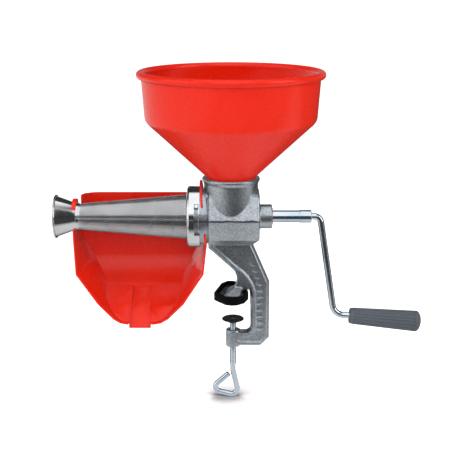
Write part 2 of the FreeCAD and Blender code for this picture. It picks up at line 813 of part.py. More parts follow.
# Clamp screw ----------------------------------------------------------------------------------
def clamp_screw():
    shoulder_z = disc_top_z - 4.2
    points = [V(screw_x, 0, stem_bottom_z + 12), V(screw_x, 0, stem_bottom_z), V(10.7, 0, -134.5),
              V(-27, 0, -125), V(-3.2, 0, -103.5)]
    loop = rod(points, [7.0, 7.5, 6.5], loop_r)
    stem = cyl_z(screw_r, stem_bottom_z + 10, shoulder_z, screw_x)
    tip = cyl_z(tip_r, shoulder_z - 1, disc_top_z - 0.6, screw_x)
    return loop.fuse(stem).fuse(tip)


def pressure_disc():
    top = disc_top_z
    profile = [(0, top - 0.55), (4.2, top - 0.55), (4.6, top), (disc_r - 1.2, top), (disc_r, top - 0.8),
               (disc_r, top - 1.6), (disc_r - 1.0, top - 2.2), (7.0, top - 3.6), (6.2, top - 5.6),
               (0, top - 5.6)]
    disc = revolve_z(profile, screw_x)
    disc = disc.cut(cyl_z(tip_r + 0.08, top - 8, top + 1, screw_x))
    return disc.cut(cyl_z(screw_r + 0.1, top - 8, top - 4.0, screw_x))


NODES = [("body_casting", body_casting), ("jaw_rubber_cap", jaw_rubber_cap), ("bayonet_pins", bayonet_pins),
         ("shaft_bush", shaft_bush), ("shaft_seal", shaft_seal), ("collar_gasket", collar_gasket),
         ("hopper", hopper), ("filter_collar", filter_collar), ("filter_screen", filter_screen),
         ("screen_end_ring", screen_end_ring), ("outlet_horn", outlet_horn),
         ("splash_guard", splash_guard), ("drive_shaft", drive_shaft), ("auger", auger),
         ("auger_spring", auger_spring), ("thrust_washer", thrust_washer),
         ("auger_cross_pin", auger_cross_pin), ("crank_sleeve", crank_sleeve),
         ("crank_pin", crank_pin), ("crank_rod", crank_rod), ("grip_sleeve", grip_sleeve),
         ("grip_end_cap", grip_end_cap), ("grip_push_nut", grip_push_nut),
         ("pressure_disc", pressure_disc), ("clamp_screw", clamp_screw)]

os.makedirs("parts", exist_ok=True)
for node_name, make in NODES:
    save(make(), node_name)
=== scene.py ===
# %% [markdown]
# # A hand-cranked tomato mill
# The mill clamps to a table edge. Fruit goes into the red hopper, a crank turns a screw inside the
# cast body, and the screw presses the fruit through a perforated steel cone. Juice falls on a red
# guard, and skins leave through the steel horn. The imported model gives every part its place, and
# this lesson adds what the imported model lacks: soft edges, a real thread, real holes and finishes.

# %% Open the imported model
import bpy
import math
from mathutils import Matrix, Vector


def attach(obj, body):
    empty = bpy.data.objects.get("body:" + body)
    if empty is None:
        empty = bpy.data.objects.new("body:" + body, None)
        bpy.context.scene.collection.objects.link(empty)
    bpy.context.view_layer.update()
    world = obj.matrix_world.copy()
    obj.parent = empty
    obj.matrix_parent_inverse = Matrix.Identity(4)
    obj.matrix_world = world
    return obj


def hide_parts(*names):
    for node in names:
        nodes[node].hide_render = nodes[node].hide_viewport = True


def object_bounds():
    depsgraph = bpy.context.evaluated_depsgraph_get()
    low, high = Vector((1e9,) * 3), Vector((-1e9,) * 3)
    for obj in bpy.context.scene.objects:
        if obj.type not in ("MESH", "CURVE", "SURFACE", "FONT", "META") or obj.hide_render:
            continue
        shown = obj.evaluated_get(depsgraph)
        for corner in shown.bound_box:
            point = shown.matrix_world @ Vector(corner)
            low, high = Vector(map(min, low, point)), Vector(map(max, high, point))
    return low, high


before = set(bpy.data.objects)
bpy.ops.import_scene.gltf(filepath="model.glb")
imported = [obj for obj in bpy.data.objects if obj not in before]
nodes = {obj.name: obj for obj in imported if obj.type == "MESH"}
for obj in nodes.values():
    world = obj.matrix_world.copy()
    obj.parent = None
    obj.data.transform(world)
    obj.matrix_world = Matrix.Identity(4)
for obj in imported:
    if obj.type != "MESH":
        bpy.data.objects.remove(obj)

cad_low, cad_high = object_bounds()
mm = 0.001
shaft_z = 106.4  # height of the shaft above the table top, in millimetres

# %% [markdown]
# ## Camera
# The camera stands on the operator's side, a little over a metre away and 14.5 degrees above the
# level, with a long lens, as catalogues are shot. It is made first, so that every later choice
# can be looked at.

# %% Place the camera
camera_data = bpy.data.cameras.new("studio_camera")
camera_data.sensor_width = 36.0
camera_data.lens = 78.26
camera = bpy.data.objects.new("studio_camera", camera_data)
camera.location = (-0.00125, -1.21019, 0.40173)
camera.rotation_euler = (math.radians(75.5), 0.0, 0.0)
bpy.context.scene.collection.objects.link(camera)
bpy.context.scene.camera = camera
print("camera", tuple(round(v, 3) for v in camera.location))

# %% [markdown]
# ## Colours
# Paint charts give colours as they look on a screen. Shaders want amounts of light, so one helper
# turns the first into the second.

# %% Colour helper
def paint(red, green, blue):
    """Screen colour from 0 to 255 as the amounts of light a shader needs."""
    light = []
    for part in (red, green, blue):
        c = part / 255.0
        light.append(c / 12.92 if c <= 0.04045 else ((c + 0.055) / 1.055) ** 2.4)
    return (light[0], light[1], light[2], 1.0)


print("signal red", [round(c, 3) for c in paint(229, 45, 26)])

# %% [markdown]
# ## Node helpers
# Each finish is a small network of nodes. These helpers add a node, join sockets, and open a new
# material or a new shared group, so that the finishes below stay short enough to read.

# %% Node helpers
def add(tree, kind, **settings):
    node = tree.nodes.new(kind)
    for key, value in settings.items():
        if key in node.inputs:
            node.inputs[key].default_value = value
        else:
            setattr(node, key, value)
    return node


def join(tree, source, target):
    tree.links.new(source, target)
    return target


def math_node(tree, operation, a, b=None, c=None, clamp=False):
    node = tree.nodes.new("ShaderNodeMath")
    node.operation = operation
    node.use_clamp = clamp
    for socket, value in zip(node.inputs, (a, b, c)):
        if value is None:
            continue
        if isinstance(value, (int, float)):
            socket.default_value = value
        else:
            tree.links.new(value, socket)
    return node.outputs[0]


def remap(tree, value, low, high, to_low=0.0, to_high=1.0):
    node = tree.nodes.new("ShaderNodeMapRange")
    node.inputs["From Min"].default_value = low
    node.inputs["From Max"].default_value = high
    node.inputs["To Min"].default_value = to_low
    node.inputs["To Max"].default_value = to_high
    tree.links.new(value, node.inputs["Value"])
    return node.outputs["Result"]


def mix_colour(tree, factor, a, b, blend="MIX"):
    node = tree.nodes.new("ShaderNodeMix")
    node.data_type = "RGBA"
    node.blend_type = blend
    for socket, value in ((node.inputs[0], factor), (node.inputs[6], a), (node.inputs[7], b)):
        if isinstance(value, (int, float, tuple)):
            socket.default_value = value
        else:
            tree.links.new(value, socket)
    return node.outputs[2]


def new_group(name, inputs, outputs):
    """Shader group with named sockets; inputs are (name, kind, value), outputs (name, kind)."""
    group = bpy.data.node_groups.new(name, "ShaderNodeTree")
    for label, kind, value in inputs:
        socket = group.interface.new_socket(name=label, in_out="INPUT", socket_type=kind)
        if value is not None:
            socket.default_value = value
    for label, kind in outputs:
        group.interface.new_socket(name=label, in_out="OUTPUT", socket_type=kind)
    start = group.nodes.new("NodeGroupInput")
    end = group.nodes.new("NodeGroupOutput")
    return group, start.outputs, end.inputs


def use_group(tree, group, **values):
    node = tree.nodes.new("ShaderNodeGroup")
    node.node_tree = group
    for label, value in values.items():
        socket = node.inputs[label.replace("_", " ")]
        if isinstance(value, (int, float, tuple)):
            socket.default_value = value
        else:
            tree.links.new(value, socket)
    return node.outputs


def new_material(name, **principled):
    """Material with a Principled BSDF; returns it, its tree, the shader and object coordinates."""
    material = bpy.data.materials.new(name)
    material.use_nodes = True
    tree = material.node_tree
    shader = tree.nodes["Principled BSDF"]
    for label, value in principled.items():
        shader.inputs[label.replace("_", " ")].default_value = value
    place = tree.nodes.new("ShaderNodeTexCoord").outputs["Object"]
    return material, tree, shader, place


def bump(tree, shader, height, distance, strength=1.0, normal=None):
    node = tree.nodes.new("ShaderNodeBump")
    node.inputs["Distance"].default_value = distance
    node.inputs["Strength"].default_value = strength
    tree.links.new(height, node.inputs["Height"])
    if normal is not None:
        tree.links.new(normal, node.inputs["Normal"])
    tree.links.new(node.outputs["Normal"], shader.inputs["Normal"])


FLOAT, VECTOR = "NodeSocketFloat", "NodeSocketVector"
print("helpers ready")

# %% [markdown]
# ## Shared effects
# Four effects come back in many finishes. *Grain* is the sandy skin that a casting takes from its
# mould. *Edges* finds corners, where metal is rubbed bright. *Clouds* is slow change in tone, as
# from handling and uneven cooling. *Turning* is the fine ring marks that a lathe leaves round an
# axis. Each is a group that only puts out masks and heights, so that every finish can weigh it.

# %% Group: casting grain
grain_group, given, out = new_group(
    "casting_grain",
    [("Place", VECTOR, None), ("Size", FLOAT, 1.0)],
    [("Height", FLOAT), ("Specks", FLOAT)])
tree = grain_group
scaled = add(tree, "ShaderNodeVectorMath", operation="DIVIDE")
join(tree, given["Place"], scaled.inputs[0])
join(tree, given["Size"], scaled.inputs[1])
sand = add(tree, "ShaderNodeTexNoise", Scale=900.0, Detail=3.0, Roughness=0.65)
join(tree, scaled.outputs[0], sand.inputs["Vector"])
pits = add(tree, "ShaderNodeTexVoronoi", Scale=650.0)
join(tree, scaled.outputs[0], pits.inputs["Vector"])
pit_depth = remap(tree, pits.outputs["Distance"], 0.0, 0.45)
sand_height = math_node(tree, "MULTIPLY", sand.outputs["Fac"], 0.65)
join(tree, math_node(tree, "MULTIPLY_ADD", pit_depth, 0.35, sand_height), out["Height"])
join(tree, remap(tree, sand.outputs["Fac"], 0.35, 0.68), out["Specks"])
print("group", grain_group.name)

# %% Group: worn edges
edge_group, given, out = new_group(
    "worn_edges",
    [("Width", FLOAT, 0.001)],
    [("Mask", FLOAT), ("Normal", VECTOR)])
tree = edge_group
rounded = add(tree, "ShaderNodeBevel", samples=6)
join(tree, given["Width"], rounded.inputs["Radius"])
surface = add(tree, "ShaderNodeNewGeometry")
likeness = add(tree, "ShaderNodeVectorMath", operation="DOT_PRODUCT")
join(tree, rounded.outputs["Normal"], likeness.inputs[0])
join(tree, surface.outputs["Normal"], likeness.inputs[1])
join(tree, remap(tree, likeness.outputs["Value"], 0.99, 0.86), out["Mask"])
join(tree, rounded.outputs["Normal"], out["Normal"])
print("group", edge_group.name)

# %% Group: clouds
cloud_group, given, out = new_group(
    "clouds",
    [("Place", VECTOR, None), ("Scale", FLOAT, 20.0)],
    [("Soft", FLOAT), ("Patchy", FLOAT)])
tree = cloud_group
soft = add(tree, "ShaderNodeTexNoise", Detail=2.0, Roughness=0.5)
join(tree, given["Place"], soft.inputs["Vector"])
join(tree, given["Scale"], soft.inputs["Scale"])
patchy = add(tree, "ShaderNodeTexNoise", Detail=5.0, Roughness=0.6, Distortion=0.6)
join(tree, given["Place"], patchy.inputs["Vector"])
join(tree, math_node(tree, "MULTIPLY", given["Scale"], 3.7), patchy.inputs["Scale"])
join(tree, remap(tree, soft.outputs["Fac"], 0.3, 0.7), out["Soft"])
join(tree, remap(tree, patchy.outputs["Fac"], 0.4, 0.72), out["Patchy"])
print("group", cloud_group.name)

# %% Group: turning marks
turning_group, given, out = new_group(
    "turning_marks",
    [("Place", VECTOR, None), ("Along", VECTOR, (1.0, 0.02, 0.02))],
    [("Height", FLOAT), ("Streaks", FLOAT)])
tree = turning_group
stretched = add(tree, "ShaderNodeVectorMath", operation="MULTIPLY")
join(tree, given["Place"], stretched.inputs[0])
join(tree, given["Along"], stretched.inputs[1])
marks = add(tree, "ShaderNodeTexNoise", Scale=2600.0, Detail=3.0, Roughness=0.7)
join(tree, stretched.outputs[0], marks.inputs["Vector"])
join(tree, marks.outputs["Fac"], out["Height"])
join(tree, remap(tree, marks.outputs["Fac"], 0.35, 0.7), out["Streaks"])
print("group", turning_group.name)

# %% [markdown]
# ## Cast aluminium
# The body is sand-cast aluminium, tumbled but not machined. It is a dry grey with a sandy skin,
# brighter where corners are rubbed. A ragged dark line runs round the barrel where the two halves
# of the mould met; it is painted shade, standing in for the shade of the seam's recess. The seam
# could be cut as a groove, but here it is a mask: a band of height, made to wander by a noise.

# %% Cast aluminium
def painted_seam_shade(tree, place):
    """Mask of painted shade along the ragged seam that the two mould halves leave round the barrel."""
    where = tree.nodes.new("ShaderNodeSeparateXYZ")
    join(tree, place, where.inputs[0])
    wander = add(tree, "ShaderNodeTexNoise", Scale=120.0, Detail=4.0)
    join(tree, place, wander.inputs["Vector"])
    shift = math_node(tree, "MULTIPLY_ADD", wander.outputs["Fac"], 0.005, -0.0025)
    seam_height = (shaft_z + 1.5) * mm
    moved = math_node(tree, "ADD", where.outputs["Z"], shift)
    height = math_node(tree, "SUBTRACT", moved, seam_height)
    near = remap(tree, math_node(tree, "ABSOLUTE", height), 0.0019, 0.0007)
    side = remap(tree, math_node(tree, "ABSOLUTE", where.outputs["Y"]), 0.0325, 0.0345)
    return math_node(tree, "MULTIPLY", near, side)


def cast_metal(name, light, dark, roughness, grain_size, grain_height):
    material, tree, shader, place = new_material(name, Metallic=0.9)
    grain = use_group(tree, grain_group, Place=place, Size=grain_size)
    edges = use_group(tree, edge_group, Width=0.0011)
    clouds = use_group(tree, cloud_group, Place=place, Scale=24.0)
    base = mix_colour(tree, clouds["Soft"], dark, light)
    speck_share = math_node(tree, "MULTIPLY", grain["Specks"], 0.38)
    speckled = mix_colour(tree, speck_share, base, paint(244, 246, 246))
    worn_share = math_node(tree, "MULTIPLY", edges["Mask"], 0.7)
    worn = mix_colour(tree, worn_share, speckled, paint(244, 246, 247))
    # painted shade: a dark line along the mould seam round the barrel, standing in for the shade of
    # its recess
    seam_shade_share = math_node(tree, "MULTIPLY", painted_seam_shade(tree, place), 0.8)
    seam_shaded = mix_colour(tree, seam_shade_share, worn, paint(44, 46, 48))
    join(tree, seam_shaded, shader.inputs["Base Color"])
    rough = math_node(tree, "MULTIPLY_ADD", clouds["Patchy"], 0.08, roughness)
    rough = math_node(tree, "MULTIPLY_ADD", edges["Mask"], -0.12, rough)
    join(tree, rough, shader.inputs["Roughness"])
    bump(tree, shader, grain["Height"], grain_height, normal=edges["Normal"])
    return material


cast_aluminium = cast_metal("cast_aluminium", paint(160, 168, 176), paint(120, 128, 136),
                            0.30, 1.9, 0.00024)
print("finish", cast_aluminium.name)

# %% [markdown]
# ## Sheet and turned steel
# The collar, the horn and the rings are pressed from stainless sheet and polished on a lathe, so
# they mirror the studio with only faint ring marks. The screen is the same sheet, left duller.

# %% Steel finishes
def turned_steel(name, colour, roughness, along, mark_height, tint=None, edge_width=0.0006):
    material, tree, shader, place = new_material(name, Metallic=1.0)
    marks = use_group(tree, turning_group, Place=place, Along=along)
    clouds = use_group(tree, cloud_group, Place=place, Scale=45.0)
    edges = use_group(tree, edge_group, Width=edge_width)
    other = tint or tuple(c * 0.86 for c in colour[:3]) + (1.0,)
    base = mix_colour(tree, clouds["Soft"], other, colour)
    worn_share = math_node(tree, "MULTIPLY", edges["Mask"], 0.4)
    worn = mix_colour(tree, worn_share, base, paint(244, 245, 246))
    join(tree, worn, shader.inputs["Base Color"])
    rough = math_node(tree, "MULTIPLY_ADD", marks["Streaks"], 0.07, roughness)
    rough = math_node(tree, "MULTIPLY_ADD", clouds["Patchy"], 0.06, rough)
    join(tree, rough, shader.inputs["Roughness"])
    bump(tree, shader, marks["Height"], mark_height, normal=edges["Normal"])
    return material


polished_steel = turned_steel("polished_steel", paint(214, 215, 217), 0.07, (1.0, 0.03, 0.03), 0.00002)
screen_steel = turned_steel("screen_steel", paint(226, 226, 228), 0.14, (0.4, 0.4, 0.4), 0.000004,
                            edge_width=0.00008)
zinc_steel = turned_steel("zinc_steel", paint(206, 214, 222), 0.13, (0.2, 0.2, 0.2), 0.000006,
                          paint(180, 196, 210))
black_steel = turned_steel("black_steel", paint(22, 27, 30), 0.16, (0.3, 0.3, 0.3), 0.00001,
                           paint(12, 17, 20))
bronze = turned_steel("bronze", paint(196, 150, 92), 0.32, (1.0, 0.03, 0.03), 0.00003,
                      paint(170, 120, 70))
print("steel finishes ready")

# %% [markdown]
# ## Moulded plastics and rubber
# The hopper and the guard are moulded in red plastic: glossy, with a slight orange peel. The grip
# is a matt grey plastic and the jaw cap a deep black rubber. The screw inside is dark nylon, so
# that the holes of the screen look black from outside.

# %% Plastic and rubber finishes
def moulded(name, colour, shade, roughness, peel_scale, peel_height, gloss=0.5):
    material, tree, shader, place = new_material(name, Specular_IOR_Level=gloss)
    clouds = use_group(tree, cloud_group, Place=place, Scale=9.0)
    edges = use_group(tree, edge_group, Width=0.0012)
    peel = add(tree, "ShaderNodeTexNoise", Scale=peel_scale, Detail=2.0, Roughness=0.5)
    join(tree, place, peel.inputs["Vector"])
    base = mix_colour(tree, clouds["Soft"], shade, colour)
    join(tree, base, shader.inputs["Base Color"])
    rough = math_node(tree, "MULTIPLY_ADD", clouds["Patchy"], 0.05, roughness)
    rough = math_node(tree, "MULTIPLY_ADD", peel.outputs["Fac"], 0.04, rough)
    join(tree, rough, shader.inputs["Roughness"])
    bump(tree, shader, peel.outputs["Fac"], peel_height, normal=edges["Normal"])
    return material


red_plastic = moulded("red_plastic", paint(232, 40, 14), paint(226, 32, 11), 0.24, 420.0,
                      0.00002, 0.30)
grey_plastic = moulded("grey_plastic", paint(86, 92, 100), paint(78, 84, 92), 0.46, 900.0,
                       0.00008, 0.4)
black_rubber = moulded("black_rubber", paint(4, 4, 4), paint(6, 6, 6), 0.60, 1100.0, 0.00008, 0.08)
dark_nylon = moulded("dark_nylon", paint(34, 34, 36), paint(26, 26, 28), 0.38, 500.0, 0.00004)
print("moulded finishes ready")

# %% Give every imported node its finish
finishes = [
    (cast_aluminium, ["body_casting"]),
    (black_rubber, ["jaw_rubber_cap", "shaft_seal", "collar_gasket"]),
    (polished_steel, ["filter_collar", "outlet_horn", "screen_end_ring", "bayonet_pins"]),
    (screen_steel, ["filter_screen"]),
    (zinc_steel, ["drive_shaft", "crank_sleeve", "crank_pin", "crank_rod", "clamp_screw",
                  "auger_spring", "auger_cross_pin", "thrust_washer", "grip_push_nut"]),
    (black_steel, ["pressure_disc"]),
    (bronze, ["shaft_bush"]),
    (red_plastic, ["hopper", "splash_guard"]),
    (grey_plastic, ["grip_sleeve", "grip_end_cap"]),
    (dark_nylon, ["auger"])]
for finish, names in finishes:
    for name in names:
        nodes[name].data.materials.clear()
        nodes[name].data.materials.append(finish)
print("nodes with a finish", sum(len(names) for finish, names in finishes), "of", len(nodes))

# %% [markdown]
# ## Working in edit mode
# Operators act on all that is selected, so every step starts by selecting exactly what it should
# touch. These helpers leave one object selected, pick faces by place, draw a profile by extruding
# one vertex, turn it about an axis, and finish with modifiers that are applied.

# %% Editing helpers
def only(piece):
    bpy.ops.object.select_all(action="DESELECT")
    piece.select_set(True)
    bpy.context.view_layer.objects.active = piece


def in_edit(piece):
    only(piece)
    bpy.ops.object.mode_set(mode="EDIT")
    bpy.ops.mesh.select_mode(type="VERT")
    bpy.ops.mesh.select_all(action="SELECT")


def leave_edit():
    bpy.ops.object.mode_set(mode="OBJECT")


def profile(name, points):
    """One vertex extruded from point to point; the points are (x, y, z) in millimetres."""
    bpy.ops.object.select_all(action="DESELECT")
    bpy.ops.mesh.primitive_plane_add(size=mm)
    piece = bpy.context.object
    piece.name = name
    in_edit(piece)
    bpy.ops.mesh.merge(type="CENTER")
    bpy.ops.transform.translate(value=Vector(points[0]) * mm)
    for before, after in zip(points, points[1:]):
        step = (Vector(after) - Vector(before)) * mm
        bpy.ops.mesh.extrude_vertices_move(TRANSFORM_OT_translate={"value": step})
    leave_edit()
    return piece


def turned(name, points, centre, axis, steps):
    """A profile spun once round an axis, with its seam and poles closed."""
    piece = profile(name, points)
    in_edit(piece)
    bpy.ops.mesh.spin(steps=steps, angle=math.tau, center=Vector(centre) * mm, axis=axis)
    bpy.ops.mesh.select_all(action="SELECT")
    bpy.ops.mesh.remove_doubles(threshold=0.00001)
    bpy.ops.mesh.normals_make_consistent(inside=False)
    leave_edit()
    return piece


def modify(piece, kind, **settings):
    only(piece)
    modifier = piece.modifiers.new(kind.lower(), kind)
    for key, value in settings.items():
        setattr(modifier, key, value)
    bpy.ops.object.modifier_apply(modifier=modifier.name)


def merged_copy(node_name, name):
    """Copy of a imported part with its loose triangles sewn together."""
    piece = bpy.data.objects.new(name, nodes[node_name].data.copy())
    bpy.context.scene.collection.objects.link(piece)
    in_edit(piece)
    bpy.ops.mesh.remove_doubles(threshold=0.000002)
    leave_edit()
    bpy.ops.mesh.customdata_custom_splitnormals_clear()
    return piece


def settle(piece, body, finish, replaced, smooth=35):
    """Finish a piece: smooth shading, material, body, slot and the nodes it stands for."""
    only(piece)
    bpy.ops.object.shade_smooth_by_angle(angle=math.radians(smooth))
    piece.data.materials.clear()
    piece.data.materials.append(finish)
    for face in piece.data.polygons:
        face.material_index = 0
    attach(piece, body)
    if replaced:
        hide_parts(*replaced)
    low = Vector(map(min, zip(*(v.co for v in piece.data.vertices)))) / mm
    high = Vector(map(max, zip(*(v.co for v in piece.data.vertices)))) / mm
    print(piece.name, "faces", len(piece.data.polygons), "from", [round(v, 1) for v in low],
          "to", [round(v, 1) for v in high])


print("editing helpers ready")

# %% [markdown]
# ## Hopper
# The hopper is one moulding: a spigot, a steep cone, a nearly straight wall and a thick rolled rim.
# It could be a cylinder pushed and scaled ring by ring. A closed profile spun round the upright
# axis is simpler, and gives the rim its full round section. The rim's circle starts at its
# lowest point and goes round in steps of 15 degrees.

# %% Hopper profile
rim_r, rim_z, bead_r = 109.5, 282.3, 4.7
hopper_line = [(31.0, 136.5), (31.0, 157.3), (31.6, 158.4), (100.6, 223.1), (102.6, 225.3),
               (104.0, 227.6), (104.9, 230.4), (108.3, 277.8)]
for i in range(1, 22):
    angle = math.radians(i * 15.0 - 105.0)
    hopper_line.append((rim_r + bead_r * math.cos(angle), rim_z + bead_r * math.sin(angle)))
hopper_line += [(106.1, 278.6), (102.7, 232.2), (101.9, 229.6), (100.7, 227.4), (98.9, 225.3),
                (28.9, 158.9), (28.5, 157.9), (28.5, 136.5), (31.0, 136.5)]
hopper_points = [(r, 0.0, z) for r, z in hopper_line]
print("hopper profile points", len(hopper_points))

# %% Spin the hopper
hopper = turned("hopper_bowl", hopper_points, (0, 0, 0), (0, 0, 1), 128)
settle(hopper, "hopper", red_plastic, ["hopper"], 50)
hopper.visible_glossy = False

# %% [markdown]
# ## Body casting
# Sand casting leaves no sharp corner anywhere: the neck runs into the barrel, and the ribs fade
# into the web. Rounding each edge by bevel would need hundreds of clean edges. Wrapping the whole
# part in a fine even skin and relaxing it softens every corner at once, as the mould does. The
# skin is then drawn in by a fifth of a millimetre, so that it stays clear of the guard.

# %% Soften the casting
body = merged_copy("body_casting", "cast_body")
modify(body, "REMESH", mode="VOXEL", voxel_size=0.00092, use_smooth_shade=True)
modify(body, "SMOOTH", factor=0.5, iterations=5)
modify(body, "DISPLACE", strength=-0.0004, mid_level=0.5)
settle(body, "frame", cast_aluminium, ["body_casting"], 60)

# %% [markdown]
# ## Splash guard
# The guard is a thin moulded tub. Its edges are rounded by less than a millimetre and its corners
# catch a fine line of light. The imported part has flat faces, so a copy is sewn together, its flat
# areas are joined into single faces, and a bevel rounds what is left.

# %% Round the guard
def rounded_copy(node_name, name, width, segments, angle=28):
    piece = merged_copy(node_name, name)
    in_edit(piece)
    bpy.ops.mesh.dissolve_limited(angle_limit=math.radians(0.6))
    leave_edit()
    modify(piece, "BEVEL", width=width, segments=segments, limit_method="ANGLE",
           angle_limit=math.radians(angle), harden_normals=False, use_clamp_overlap=True)
    modify(piece, "WEIGHTED_NORMAL", keep_sharp=False)
    return piece


guard = rounded_copy("splash_guard", "juice_guard", 0.0007, 3)
settle(guard, "guard", red_plastic, ["splash_guard"])
guard.visible_glossy = False

# %% [markdown]
# ## Jaw cap
# The upper jaw wears a moulded rubber cap so that it doesn't bruise the table. Rubber tears at
# sharp corners, so its rims are well rounded.

# %% Round the jaw cap
cap = rounded_copy("jaw_rubber_cap", "jaw_cap", 0.0010, 4)
settle(cap, "frame", black_rubber, ["jaw_rubber_cap"])

# %% [markdown]
# ## Filter cone
# The real screen is a flat sector of perforated sheet, rolled to a cone and welded along one line.
# It is made the same way here. One hexagonal cell with a hole is repeated by arrays into a
# staggered sheet, the sheet is cut to a sector with bisect, rolled, and given its thickness.

# %% One cell of perforated sheet
pitch = 3.0
row = pitch * math.sqrt(3) / 2
cone_x0, cone_r0 = -188.6, 15.75
cone_x1, cone_r1 = -51.9, 27.46
lean = math.atan((cone_r1 - cone_r0) / (cone_x1 - cone_x0))
near_edge = cone_r0 / math.sin(lean)
far_edge = cone_r1 / math.sin(lean)
half_sector = math.pi * math.sin(lean)
bpy.ops.object.select_all(action="DESELECT")
bpy.ops.mesh.primitive_circle_add(vertices=6, radius=pitch / math.sqrt(3) * mm, fill_type="NGON",
                                  rotation=(0, 0, math.radians(30)))
screen = bpy.context.object
screen.name = "perforated_cone"
bpy.ops.object.transform_apply(location=True, rotation=True, scale=True)
in_edit(screen)
bpy.ops.mesh.select_mode(type="FACE")
bpy.ops.mesh.inset(thickness=0.00050)
bpy.ops.mesh.delete(type="FACE")
leave_edit()
print("cell faces", len(screen.data.polygons), "sector", round(near_edge, 1), round(far_edge, 1))

# %% Repeat the cell into a sheet
half_width = far_edge * math.sin(half_sector)
columns = int((far_edge - near_edge * math.cos(half_sector)) / pitch) + 3
pairs = int(half_width / row) + 2
modify(screen, "ARRAY", count=2, use_relative_offset=False, use_constant_offset=True,
       constant_offset_displace=(pitch / 2 * mm, row * mm, 0))
modify(screen, "ARRAY", count=pairs, use_relative_offset=False, use_constant_offset=True,
       constant_offset_displace=(0, 2 * row * mm, 0))
modify(screen, "ARRAY", count=columns, use_relative_offset=False, use_constant_offset=True,
       constant_offset_displace=(pitch * mm, 0, 0))
in_edit(screen)
bpy.ops.mesh.remove_doubles(threshold=0.00002)
start_x = near_edge * math.cos(half_sector) - pitch
bpy.ops.transform.translate(value=(start_x * mm, -(pairs - 0.5) * row * mm, 0))
leave_edit()
print("sheet faces", len(screen.data.polygons))

# %% Cut the sheet to its sector
in_edit(screen)
for side in (-1, 1):
    bpy.ops.mesh.select_all(action="SELECT")
    out_of_sector = (-math.sin(half_sector), side * math.cos(half_sector), 0)
    bpy.ops.mesh.bisect(plane_co=(0, 0, 0), plane_no=out_of_sector, clear_outer=True)
leave_edit()
apart = [math.hypot(v.co.x, v.co.y) / mm for v in screen.data.vertices]
for vertex, reach in zip(screen.data.vertices, apart):
    vertex.select = reach < near_edge or reach > far_edge
bpy.ops.object.mode_set(mode="EDIT")
bpy.ops.mesh.delete(type="VERT")
leave_edit()
print("sector faces", len(screen.data.polygons))

# %% Roll the sector into a cone
seam_angle = math.radians(-128)


def roll(across, along):
    """Point on the cone for an angle round it and a distance from its tip, in metres."""
    radius = along * math.sin(lean)
    x = cone_x0 * mm + (along - near_edge * mm) * math.cos(lean)
    turn = seam_angle + math.pi + across / math.sin(lean)
    return Vector((x, radius * math.sin(turn), shaft_z * mm + radius * math.cos(turn)))


for vertex in screen.data.vertices:
    flat = vertex.co.copy()
    vertex.co = roll(math.atan2(flat.y, flat.x), math.hypot(flat.x, flat.y))
in_edit(screen)
bpy.ops.mesh.remove_doubles(threshold=0.00005)
bpy.ops.mesh.normals_make_consistent(inside=False)
leave_edit()
outward = 0.0
for face in screen.data.polygons:
    on_axis = Vector((face.center.x, 0, shaft_z * mm))
    outward += (face.center - on_axis).dot(face.normal)
if outward < 0:
    in_edit(screen)
    bpy.ops.mesh.flip_normals()
    leave_edit()
modify(screen, "SOLIDIFY", thickness=0.0008, offset=-1.0, use_rim=True)
print("rolled faces", len(screen.data.polygons))

# %% Solid bands and the weld seam
band_lines = [(cone_x0, cone_x0 + 1.8), (cone_x1 - 2.2, cone_x1)]
bands = []


def at_radius(x, radius):
    return (x, 0, shaft_z + radius)


def on_cone(x, above):
    return at_radius(x, cone_r0 + (x - cone_x0) * math.tan(lean) + above)


for low, high in band_lines:
    ring = [on_cone(low, 0.02), on_cone(high, 0.02), on_cone(high, -0.85), on_cone(low, -0.85),
            on_cone(low, 0.02)]
    bands.append(turned("band", ring, (0, 0, shaft_z), (1, 0, 0), 96))
foot_x = cone_x1 + 0.9
foot_r = 33.9
foot = [at_radius(cone_x1 - 0.4, cone_r1 - 0.85), at_radius(foot_x - 0.9, foot_r),
        at_radius(foot_x, foot_r), at_radius(foot_x, cone_r1 - 0.85),
        at_radius(cone_x1 - 0.4, cone_r1 - 0.85)]
bands.append(turned("foot", foot, (0, 0, shaft_z), (1, 0, 0), 96))
seam_half = 1.3
bpy.ops.object.select_all(action="DESELECT")
bpy.ops.mesh.primitive_grid_add(x_subdivisions=24, y_subdivisions=4, size=1.0)
seam = bpy.context.object
seam.name = "seam"
for vertex in seam.data.vertices:
    along = near_edge + (far_edge - near_edge) * (vertex.co.x + 0.5)
    side = vertex.co.y * 2.0
    crown = 0.04 * (1.0 - side * side)
    place = roll(half_sector + side * seam_half / along, along * mm)
    spoke = (place - Vector((place.x, 0, shaft_z * mm))).normalized()
    vertex.co = place + spoke * crown * mm
modify(seam, "SOLIDIFY", thickness=0.0009, offset=-1.0)
bands.append(seam)
only(screen)
for band in bands:
    band.select_set(True)
bpy.ops.object.join()
settle(screen, "filter", screen_steel, ["filter_screen"], 30)

# %% [markdown]
# ## Clamp screw
# The clamp screw is M8 bar, threaded by rolling and bent into a loop handle below. The thread is a
# real helix: one tooth of the M8 profile, repeated by a Screw modifier with the pitch as its rise.

